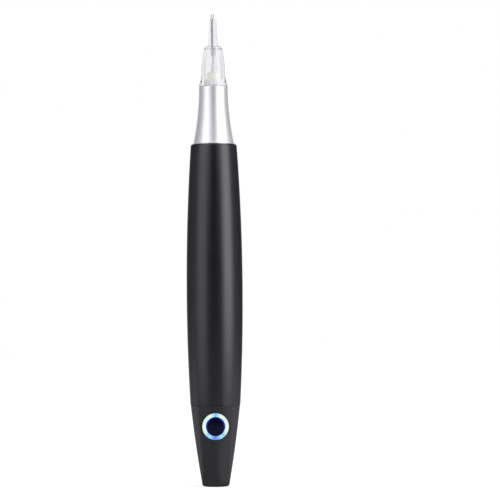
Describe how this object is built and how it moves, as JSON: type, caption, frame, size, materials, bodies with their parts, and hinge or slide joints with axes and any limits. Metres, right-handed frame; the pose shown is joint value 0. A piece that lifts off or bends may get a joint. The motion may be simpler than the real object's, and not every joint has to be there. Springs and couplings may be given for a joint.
{
  "type": "permanent makeup machine",
  "caption": "Slim rotary permanent makeup pen: black tapered barrel, silver nose cone, clear needle cartridge and a lit round button at the tail.",
  "frame": {"origin": "centre of the flat tail face that the pen stands on", "axes": "+Z along the pen towards the needle; the button faces -Y"},
  "size_m": [0.019, 0.019, 0.1598],
  "materials": {
    "black_anodised": "satin black anodised",
    "satin_silver": "satin turned",
    "lit_ring": "turned, lit pale blue",
    "clear_plastic": "clear moulded",
    "light_pipe": "clear, lit blue",
    "button_gloss": "glossy near-black navy",
    "white_plastic": "moulded",
    "ivory_plastic": "moulded",
    "ivory_silicone": "soft, slightly clear",
    "black_rubber": "moulded",
    "needle_steel": "polished, soldered",
    "steel": "ground",
    "bronze": "sintered",
    "copper": "drawn",
    "nickel": "plated",
    "machined_aluminium": "machined",
    "black_plastic": "moulded",
    "battery_wrap": "shrink-wrapped",
    "board": "solder mask",
    "led_white": "moulded",
    "wire": "insulation"
  },
  "bodies": {
    "handpiece": {"tail_cap": "black_anodised", "barrel": "black_anodised", "nose_cone": "satin_silver", "button_bezel": "lit_ring", "light_guide": "light_pipe", "seam_o_ring": "black_rubber", "nose_o_ring": "black_rubber", "cartridge_grip_ring": "black_rubber", "guide_pin": "steel", "return_spring": "steel", "motor_screws": "steel", "motor_housing": "steel", "battery_spring": "steel", "guide_bush": "bronze", "front_bearing": "bronze", "rear_bearing": "bronze", "motor_brushes": "copper", "motor_magnet": "nickel", "battery_plus_contact": "nickel", "charge_contacts": "nickel", "charge_socket_bush": "nickel", "drive_frame": "machined_aluminium", "drive_cap": "machined_aluminium", "battery_cradle": "black_plastic", "motor_sleeve": "black_plastic", "motor_brush_cap": "black_plastic", "charge_socket_body": "black_plastic", "button_switch": "black_plastic", "board_chips": "black_plastic", "battery": "battery_wrap", "control_board": "board", "tail_contact_plate": "board", "button_leds": "led_white", "lead_wires": "wire"},
    "rotor": {"motor_shaft": "steel", "commutator": "copper", "motor_coil": "copper", "drive_cam": "steel"},
    "drive_rod": {"push_rod": "steel", "cam_follower": "steel"},
    "button": {"button_cap": "button_gloss", "switch_plunger": "white_plastic"},
    "cartridge": {"cartridge_tip": "clear_plastic", "cartridge_shank": "white_plastic", "cartridge_membrane": "ivory_silicone"},
    "needle": {"plunger": "ivory_plastic", "needle_bar": "needle_steel", "needle_holder": "needle_steel", "needles": "needle_steel"}
  },
  "joints": [
    {"name": "motor_spin", "type": "hinge", "parent": "handpiece", "child": "rotor", "pos_m": [0, 0, 0.09], "axis": [0, 0, 1], "range_deg": [0, 180]},
    {"name": "rod_stroke", "type": "slide", "parent": "handpiece", "child": "drive_rod", "axis": [0, 0, 1], "range_m": [-0.0025, 0], "deforming": ["return_spring"]},
    {"name": "cartridge_pull", "type": "slide", "parent": "handpiece", "child": "cartridge", "axis": [0, 0, 1], "range_m": [0, 0.015]},
    {"name": "needle_stroke", "type": "slide", "parent": "cartridge", "child": "needle", "axis": [0, 0, 1], "range_m": [-0.0025, 0], "deforming": ["cartridge_membrane"]},
    {"name": "button_press", "type": "slide", "parent": "handpiece", "child": "button", "axis": [0, 1, 0], "range_m": [0, 0.0004], "stiffness_N_per_m": 400}
  ],
  "couplings": [
    {"joint": "motor_spin", "follows": "rod_stroke", "rad_per_m": -1256.6},
    {"joint": "needle_stroke", "follows": "rod_stroke", "ratio": 1}
  ]
}
